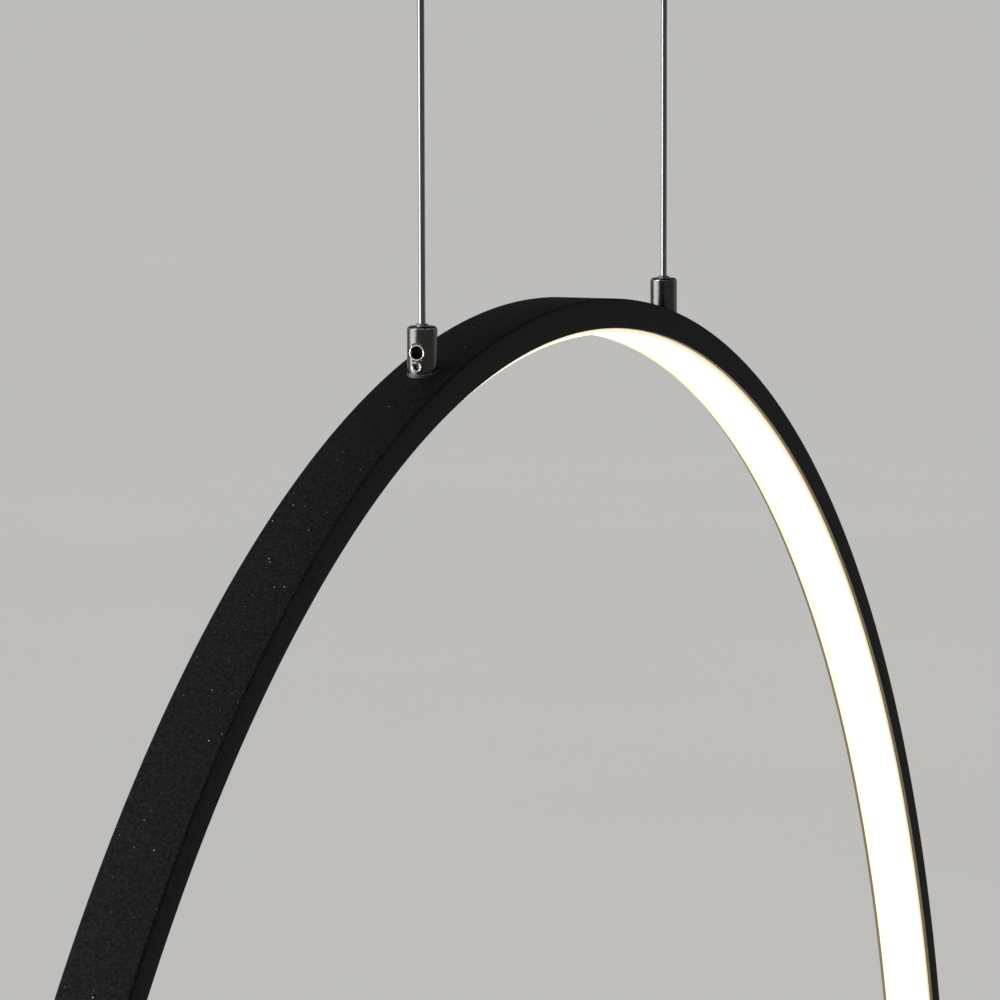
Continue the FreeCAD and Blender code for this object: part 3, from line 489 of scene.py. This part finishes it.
def applied(made, name):
    """The object's evaluated mesh on its own; the object and its modifiers are removed."""
    bpy.context.view_layer.update()
    evaluated = made.evaluated_get(bpy.context.evaluated_depsgraph_get())
    mesh = bpy.data.meshes.new_from_object(evaluated)
    mesh.name = name
    bpy.data.objects.remove(made)
    return mesh


def rounded(points, radii):
    """Closed outline through 2-D points, with an arc at each corner that has a radius."""
    outline = []
    for i, corner in enumerate(points):
        radius = radii[i]
        here = Vector(corner)
        if radius == 0:
            outline.append(here)
            continue
        back = (Vector(points[i - 1]) - here).normalized()
        ahead = (Vector(points[(i + 1) % len(points)]) - here).normalized()
        half = back.angle(ahead) / 2
        centre = here + (back + ahead).normalized() * (radius / math.sin(half))
        first = here + back * (radius / math.tan(half)) - centre
        last = here + ahead * (radius / math.tan(half)) - centre
        turn = first.angle_signed(last)
        for k in range(CORNER_STEPS + 1):
            outline.append(centre + Matrix.Rotation(-turn * k / CORNER_STEPS, 2) @ first)
    return outline


def mirrored(half):
    """Outline symmetric about Y = 0 from (y, radius, corner radius) points of its +Y half."""
    whole = half + [(-y, r, corner) for y, r, corner in reversed(half)]
    return rounded([(y, r) for y, r, _ in whole], [corner for _, _, corner in whole])


def new_group(name, **sockets):
    """An empty Geometry Nodes tree with the named inputs."""
    group = bpy.data.node_groups.new(name, "GeometryNodeTree")
    for label, kind in sockets.items():
        group.interface.new_socket(name=label, in_out="INPUT", socket_type=kind)
    group.interface.new_socket(name="Geometry", in_out="OUTPUT", socket_type="NodeSocketGeometry")
    tree = Tree(group)
    entry = group.nodes.new("NodeGroupInput")
    return group, tree, {socket.name: Value(tree, socket) for socket in entry.outputs if socket.name}


def finish_group(group, tree, shape, finish):
    """Ends a tree in real geometry with its material."""
    real = tree.node("GeometryNodeRealizeInstances", {}, {0: shape})
    painted = tree.node("GeometryNodeSetMaterial", {}, {"Geometry": real, "Material": finish})
    group.links.new(painted.socket, group.nodes.new("NodeGroupOutput").inputs[0])
    return group


def roller():
    """Geometry Nodes tree that sweeps a section round an arc, like a rolled profile."""
    group, tree, inputs = new_group("rolled_section", Section="NodeSocketObject", Radius="NodeSocketFloat",
                                    Start="NodeSocketFloat", Sweep="NodeSocketFloat", Steps="NodeSocketInt",
                                    Finish="NodeSocketMaterial")
    section = tree.node("GeometryNodeObjectInfo", {}, {"Object": inputs["Section"]}, "Geometry")
    arc = tree.node("GeometryNodeCurveArc", {"mode": "RADIUS"}, {
        "Resolution": inputs["Steps"], "Radius": inputs["Radius"], "Start Angle": inputs["Start"],
        "Sweep Angle": inputs["Sweep"]})
    swept = tree.node("GeometryNodeCurveToMesh", {}, {
        "Curve": arc, "Profile Curve": section, "Fill Caps": True})
    return finish_group(group, tree, swept, inputs["Finish"])


def run_nodes(group, name, **inputs):
    """Runs a Geometry Nodes tree on an empty mesh and returns the plain mesh that it makes."""
    made = bpy.data.objects.new(name, bpy.data.meshes.new(name))
    bpy.context.scene.collection.objects.link(made)
    modifier = made.modifiers.new(name, "NODES")
    modifier.node_group = group
    for item in group.interface.items_tree:
        if item.in_out == "INPUT" and item.name in inputs:
            modifier[item.identifier] = inputs[item.name]
    return applied(made, name)


def rolled(name, outline, gap, finish):
    """A section rolled into the hoop, open by a gap at the top."""
    curve = bpy.data.curves.new(name + "_section", "CURVE")
    curve.dimensions = "2D"
    spline = curve.splines.new("POLY")
    spline.points.add(len(outline) - 1)
    for point, (y, r) in zip(spline.points, outline):
        point.co = (r - HOOP_R, y, 0, 1)
    spline.use_cyclic_u = True
    section = bpy.data.objects.new(name + "_section", curve)
    bpy.context.scene.collection.objects.link(section)
    half = gap / (2 * HOOP_R)
    mesh = run_nodes(ROLLER, name, Section=section, Radius=HOOP_R, Start=half, Sweep=2 * math.pi - 2 * half,
                     Steps=HOOP_STEPS, Finish=finish)
    bpy.data.objects.remove(section)
    mesh.transform(Matrix.Translation((0, 0, HOOP_Z)) @ Matrix.Rotation(math.radians(-90), 4, "Y")
                   @ Matrix.Rotation(math.radians(90), 4, "X"))
    bm = bmesh.new()
    bm.from_mesh(mesh)
    bmesh.ops.remove_doubles(bm, verts=bm.verts, dist=MERGE_DISTANCE)
    bmesh.ops.recalc_face_normals(bm, faces=bm.faces)
    return mesh_of(bm, name)


ROLLER = roller()


def ring_of(bm, x, radius, height, around):
    """One level ring of points about an upright axis at x."""
    turns = [2 * math.pi * k / around for k in range(around)]
    return [bm.verts.new((x + radius * math.cos(turn), radius * math.sin(turn), height)) for turn in turns]


def cable(side, sign):
    """Taut suspension cable, from the release collar up into the canopy."""
    low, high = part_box("suspension_cable_" + side)
    x = sign * EXIT_X
    bm = bmesh.new()
    heights = [low.z + (high.z - low.z) * i / CABLE_LEVELS for i in range(CABLE_LEVELS + 1)]
    rings = [ring_of(bm, x, CABLE_R, height, CABLE_SIDES) for height in heights]
    for lower, upper in zip(rings, rings[1:]):
        for k in range(CABLE_SIDES):
            ahead = (k + 1) % CABLE_SIDES
            bm.faces.new((lower[k], lower[ahead], upper[ahead], upper[k]))
    bm.faces.new(reversed(rings[0]))
    bm.faces.new(rings[-1])
    made = piece("cable_" + side, mesh_of(bm, "cable_" + side), "suspension_cable_" + side)
    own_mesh(made)


def channel():
    """Rolled channel: two rounded outer corners, fine flange tips, and ledges with a slot between them."""
    side = PROFILE_W / 2
    inner = side - FLANGE_T
    slot = inner - LEDGE_W
    tip = HOOP_R - PROFILE_DEPTH
    floor = HOOP_R - WEB_T
    half = [(side, HOOP_R, CORNER_R), (side, tip, TIP_R), (inner, tip, TIP_R),
            (inner, floor - SLOT_DEPTH, 0), (slot, floor - SLOT_DEPTH, 0), (slot, floor, 0)]
    mesh = rolled("hoop_channel", mirrored(half), SEAM_GAP, HOOP_COAT)
    for face in mesh.polygons:
        x, y, z = face.center
        radius = math.hypot(x, z - HOOP_Z)
        inside = abs(y) < inner + FACE_TOLERANCE and radius < floor + FACE_TOLERANCE
        # second finish on the flange tips and inner walls: bare metal tinted tan with painted glow from the
        # diffuser
        face.material_index = SECOND if inside or radius < tip + TIP_R / 2 else FIRST
    piece("hoop_channel", mesh, "hoop_profile", HOOP_COAT, LIP_BARE_AND_PAINTED_GLOW)


def diffuser():
    """Opal trough with plain legs, whose rounded face stands proud of the channel's flange tips."""
    side = PROFILE_W / 2 - FLANGE_T - SIDE_GAP
    inner = side - DIFFUSER_T
    low = HOOP_R - PROFILE_DEPTH - DIFFUSER_PROUD
    half = [(inner, low + DIFFUSER_T, 0), (inner, low + DIFFUSER_LEG, 0), (side, low + DIFFUSER_LEG, 0),
            (side, low, DIFFUSER_CORNER_R)]
    piece("opal_strip", rolled("opal_strip", mirrored(half), DIFFUSER_GAP, OPAL), "diffuser")


def hoop_top(x):
    """Height of the channel's outer face above a place on the X axis."""
    return HOOP_Z + math.sqrt(HOOP_R ** 2 - x ** 2)


def turned(profile, finishes=(), around=BARREL_SIDES, ring=False):
    """Lathed shape about Z from (radius, height) points; finishes gives each segment's number."""
    bm = bmesh.new()
    rows = []
    for radius, height in profile:
        rows.append([bm.verts.new((0, 0, height))] if radius == 0 else ring_of(bm, 0, radius, height, around))
    pairs = list(zip(rows, rows[1:] + rows[:1])) if ring else list(zip(rows, rows[1:]))
    for i, (row, following) in enumerate(pairs):
        for k in range(around):
            ahead = (k + 1) % around
            corners = []
            for vert in (row[k % len(row)], row[ahead % len(row)],
                         following[ahead % len(following)], following[k % len(following)]):
                if vert not in corners:
                    corners.append(vert)
            face = bm.faces.new(corners)
            face.material_index = finishes[i] if i < len(finishes) else FIRST
    bmesh.ops.recalc_face_normals(bm, faces=bm.faces)
    return bm


def outward(sign, x, z):
    """Places a shape lathed about Z so that it points out along X from a gripper's axis."""
    return Matrix.Translation((x, 0, z)) @ Matrix.Rotation(sign * math.pi / 2, 4, "Y")


def cut(mesh, finishes, *tools):
    """The mesh less each tool, a bmesh that is used up; its faces keep the numbers of their finishes."""
    for material in finishes:
        mesh.materials.append(material)
    body = bpy.data.objects.new("body", mesh)
    bpy.context.scene.collection.objects.link(body)
    spent = []
    for tool in tools:
        tool_mesh = bpy.data.meshes.new("tool")
        tool.to_mesh(tool_mesh)
        tool.free()
        cutter = bpy.data.objects.new("tool", tool_mesh)
        bpy.context.scene.collection.objects.link(cutter)
        modifier = body.modifiers.new("cut", "BOOLEAN")
        modifier.operation = "DIFFERENCE"
        modifier.solver = "EXACT"
        modifier.object = cutter
        spent.append(cutter)
    result = applied(body, mesh.name)
    for cutter in spent:
        bpy.data.objects.remove(cutter)
    return result


def joined(name, *parts):
    """One mesh from several meshes or bmeshes, with its sharp edges marked."""
    bm = bmesh.new()
    for part in parts:
        if isinstance(part, bmesh.types.BMesh):
            mesh = bpy.data.meshes.new(name + "_part")
            part.to_mesh(mesh)
            part.free()
            part = mesh
        bm.from_mesh(part)
    return mesh_of(bm, name)


def bolt_hole(radius, near, far):
    """Round cutting tool about Z, from one height to another."""
    return turned([(0, near), (radius, near), (radius, far), (0, far)], around=SMALL_SIDES)


def gripper(side, sign):
    """Turned barrel coped to the hoop, solid below its blind mouth; a flat and an eyelet round its side hole."""
    x = sign * EXIT_X
    low = FOOT_Z - COPE_DEPTH
    neck = BARREL_TOP - BARREL_CHAMFER
    shoulder = BARREL_R - BARREL_CHAMFER
    body = turned([(0, low), (BARREL_R / 2, low), (BARREL_R - WORN_STEP, low), (BARREL_R, low + FOOT_BAND),
                   (BARREL_R, FOOT_Z + WALL_SPLIT), (BARREL_R, neck),
                   (BARREL_R - WORN_STEP, neck + SHOULDER_BAND), (shoulder, BARREL_TOP - TOP_BREAK[1]),
                   (shoulder - TOP_BREAK[0], BARREL_TOP), (MOUTH_R + MOUTH_CHAMFER, BARREL_TOP),
                   (MOUTH_R, BARREL_TOP - MOUTH_CHAMFER), (MOUTH_R, MOUTH_FLOOR), (0, MOUTH_FLOOR)],
                  finishes=(FIRST, FIRST, SECOND, FIRST, FIRST, SECOND))
    for vert in body.verts:
        if vert.co.z < low + 2 * FOOT_BAND:
            vert.co.z += hoop_top(x + vert.co.x) + BUSH_FLANGE_T - low
    body.transform(Matrix.Translation((x, 0, 0)))
    hole_z = FOOT_Z + SIDE_HOLE_HEIGHT
    flat = bolt_hole(SIDE_FLAT_R, BARREL_R - SIDE_FLAT_DEPTH, 2 * BARREL_R)
    hole = bolt_hole(SIDE_HOLE_R, SIDE_HOLE_FLOOR, 2 * BARREL_R)
    grub_hole = bolt_hole(GRUB_R + GRUB_CLEARANCE, STUD_R, 2 * BARREL_R)
    for tool, z in ((flat, hole_z), (hole, hole_z), (grub_hole, FOOT_Z + GRUB_HEIGHT)):
        tool.transform(outward(sign, x, z))
    mesh = bpy.data.meshes.new("gripper_" + side)
    body.to_mesh(mesh)
    body.free()
    finishes = (BLACK_NICKEL, TURNED_EDGE, EYELET_BRIGHT)
    mesh = cut(mesh, finishes, flat, hole, grub_hole)
    seat = BARREL_R - EYELET_SUNK
    bead = [(EYELET_R + EYELET_WIRE_R * math.cos(turn), seat + EYELET_WIRE_R * math.sin(turn))
            for turn in [2 * math.pi * k / EYELET_STEPS for k in range(EYELET_STEPS)]]
    eyelet = turned(bead, finishes=[THIRD] * EYELET_STEPS, ring=True)
    eyelet.transform(outward(sign, x, hole_z))
    piece("gripper_" + side, joined("gripper_" + side, mesh, eyelet), "gripper_barrel_" + side, *finishes)


def grub(side, sign):
    """Set screw with a rounded, chipped lip round its hexagon socket."""
    face = BARREL_R + GRUB_PROUD
    seat = face - GRUB_LIP
    rim = [(GRUB_R - GRUB_LIP + GRUB_LIP * math.cos(turn), seat + GRUB_LIP * math.sin(turn))
           for turn in [math.pi * k / GRUB_LIP_STEPS for k in range(GRUB_LIP_STEPS)]]
    screw = turned([(0, STUD_R), (GRUB_R, STUD_R), *rim, (GRUB_R - 2 * GRUB_LIP, seat), (0, seat)],
                   finishes=[FIRST] * 2 + [SECOND] * GRUB_LIP_STEPS, around=SMALL_SIDES)
    floor = face - GRUB_SOCKET_DEPTH
    socket = turned([(0, floor), (GRUB_SOCKET_R, floor), (GRUB_SOCKET_R, face + MM), (0, face + MM)],
                    around=HEXAGON)
    place = outward(sign, sign * EXIT_X, FOOT_Z + GRUB_HEIGHT)
    screw.transform(place)
    socket.transform(place)
    mesh = bpy.data.meshes.new("grub_" + side)
    screw.to_mesh(mesh)
    screw.free()
    finishes = (SCREW_BLACK, SCREW_BEVEL)
    mesh = joined("grub_" + side, cut(mesh, finishes, socket))
    piece("grub_" + side, mesh, "grub_screw_" + side, *finishes)


def collar(side, sign):
    """Release collar: a small tube with a rounded lip that the cable runs through."""
    outer = COLLAR_HIGH.y
    bore = CABLE_R + COLLAR_GAP
    low, high = COLLAR_LOW.z, COLLAR_HIGH.z
    tube = turned([(bore, low), (outer, low), (outer, high - COLLAR_LIP),
                   (outer - COLLAR_LIP_STEP, high - COLLAR_LIP_STEP), (outer - COLLAR_LIP, high),
                   (bore + COLLAR_LIP / 2, high), (bore, high - COLLAR_LIP / 2)],
                  ring=True, around=SMALL_SIDES)
    tube.transform(Matrix.Translation((sign * EXIT_X, 0, 0)))
    piece("collar_" + side, mesh_of(tube, "collar_" + side), "release_collar_" + side)


def screw_setter():
    """Geometry Nodes tree that sets one screw at each corner of a rectangle, facing inwards along Y."""
    group, tree, inputs = new_group("screw_setting", Screw="NodeSocketObject", Length="NodeSocketFloat",
                                    Width="NodeSocketFloat", Height="NodeSocketFloat",
                                    Finish="NodeSocketMaterial")
    grid = tree.node("GeometryNodeMeshGrid", {}, {
        "Size X": inputs["Length"], "Size Y": inputs["Width"], "Vertices X": 2, "Vertices Y": 2})
    place = tree.node("GeometryNodeInputPosition")
    far_side = tree.node("ShaderNodeSeparateXYZ", {}, {0: place}, "Y").above(0.0)
    turn = tree.node("ShaderNodeCombineXYZ", {}, {"Z": math.pi * far_side})
    screw = tree.node("GeometryNodeObjectInfo", {}, {"Object": inputs["Screw"]}, "Geometry")
    placed = tree.node("GeometryNodeInstanceOnPoints", {}, {
        "Points": grid, "Instance": screw, "Rotation": turn})
    lift = tree.node("ShaderNodeCombineXYZ", {}, {"Z": inputs["Height"]})
    raised = tree.node("GeometryNodeTransform", {}, {"Geometry": placed, "Translation": lift})
    return finish_group(group, tree, raised, inputs["Finish"])


def canopy_screws():
    """Four pan-head screws with hexagon sockets in the canopy's long sides."""
    height = SCREWS_HIGH.y - CANOPY_HALF_W
    head = turned([(0, -SCREW_LENGTH), (CANOPY_SCREW_R - SCREW_POINT[0], -SCREW_LENGTH),
                   (CANOPY_SCREW_R, SCREW_POINT[1] - SCREW_LENGTH), (CANOPY_SCREW_R, 0), (SCREW_HEAD_R, 0),
                   *[(across * SCREW_HEAD_R, up * height) for across, up in SCREW_HEAD_CURVE], (0, height)],
                  around=SCREW_SIDES)
    floor = SCREW_SOCKET_FLOOR * height
    socket = turned([(0, floor), (SCREW_SOCKET_R, floor), (SCREW_SOCKET_R, height + MM), (0, height + MM)],
                    around=HEXAGON)
    mesh = bpy.data.meshes.new("screw")
    head.to_mesh(mesh)
    head.free()
    mesh = cut(mesh, (SCREW_BLACK,), socket)
    mesh.transform(Matrix.Rotation(math.pi / 2, 4, "X"))
    screw = bpy.data.objects.new("screw", mesh)
    bpy.context.scene.collection.objects.link(screw)
    spread = SCREWS_HIGH.x - SCREW_HEAD_R
    level = (SCREWS_HIGH.z + SCREWS_LOW.z) / 2
    made = run_nodes(screw_setter(), "canopy_screw_set", Screw=screw, Length=2 * spread,
                     Width=2 * CANOPY_HALF_W, Height=level, Finish=SCREW_BLACK)
    bpy.data.objects.remove(screw)
    piece("canopy_screw_set", joined("canopy_screw_set", made), "canopy_screws")


# ---- camera, lights, floor ----

def camera():
    """The photograph's camera."""
    made = bpy.data.objects.new("camera", bpy.data.cameras.new("camera"))
    made.data.lens = CAMERA_LENS
    made.data.sensor_width = SENSOR
    bpy.context.scene.collection.objects.link(made)
    turn = (Matrix.Rotation(-CAMERA_YAW, 4, "Z") @ Matrix.Rotation(CAMERA_PITCH + math.pi / 2, 4, "X")
            @ Matrix.Rotation(CAMERA_ROLL, 4, "Z"))
    made.matrix_world = Matrix.Translation(CAMERA_PLACE) @ turn
    bpy.context.scene.camera = made


def soft_box(name, place, aim, size, strength, colour):
    """Rectangular studio lamp, (width, height) in metres, facing a point."""
    lamp = bpy.data.lights.new(name, "AREA")
    lamp.shape = "RECTANGLE"
    lamp.size, lamp.size_y = size
    lamp.energy = strength
    lamp.color = colour
    made = bpy.data.objects.new(name, lamp)
    bpy.context.scene.collection.objects.link(made)
    made.location = place
    made.rotation_euler = (Vector(aim) - Vector(place)).to_track_quat("-Z", "Y").to_euler()
    made.visible_camera = False


def studio():
    """Plain soft light and a pale floor."""
    scene = bpy.context.scene
    scene.view_settings.view_transform = "Standard"
    world = bpy.data.worlds.new("studio")
    scene.world = world
    world.use_nodes = True
    world.node_tree.nodes["Background"].inputs["Color"].default_value = WORLD_COLOUR
    world.node_tree.nodes["Background"].inputs["Strength"].default_value = WORLD_STRENGTH
    for box in SOFT_BOXES:
        soft_box(*box)
    sun = bpy.data.lights.new("sky", "SUN")
    sun.energy = SKY_STRENGTH
    sun.angle = SKY_SPREAD
    made = bpy.data.objects.new("sky", sun)
    made.rotation_euler = SKY_TILT
    scene.collection.objects.link(made)
    floor = bpy.data.meshes.new("floor")
    corners = [(x * FLOOR_HALF, y * FLOOR_HALF, FLOOR_Z) for x, y in ((-1, -1), (1, -1), (1, 1), (-1, 1))]
    floor.from_pydata(corners, [], [(0, 1, 2, 3)])
    paper = Finish("floor_paper", Roughness=0.9, Specular_IOR_Level=0.1)
    paper.set(Base_Color=paper.mix(paper.noise(0.4, 2.0), (0.7, 0.69, 0.67), (0.72, 0.71, 0.69)))
    floor.materials.append(paper.material)
    made = bpy.data.objects.new("floor", floor)
    scene.collection.objects.link(made)


camera()
for SIDE, SIGN in SIDES:
    cable(SIDE, SIGN)
channel()
diffuser()
for SIDE, SIGN in SIDES:
    gripper(SIDE, SIGN)
    grub(SIDE, SIGN)
    collar(SIDE, SIGN)
canopy_screws()
for node_name, node_object in frame["nodes"].items():
    node_object.data.materials.clear()
    node_object.data.materials.append(NODE_FINISH.get(node_name, SLOT_FINISH[NODE_SLOT[node_name]]))
studio()
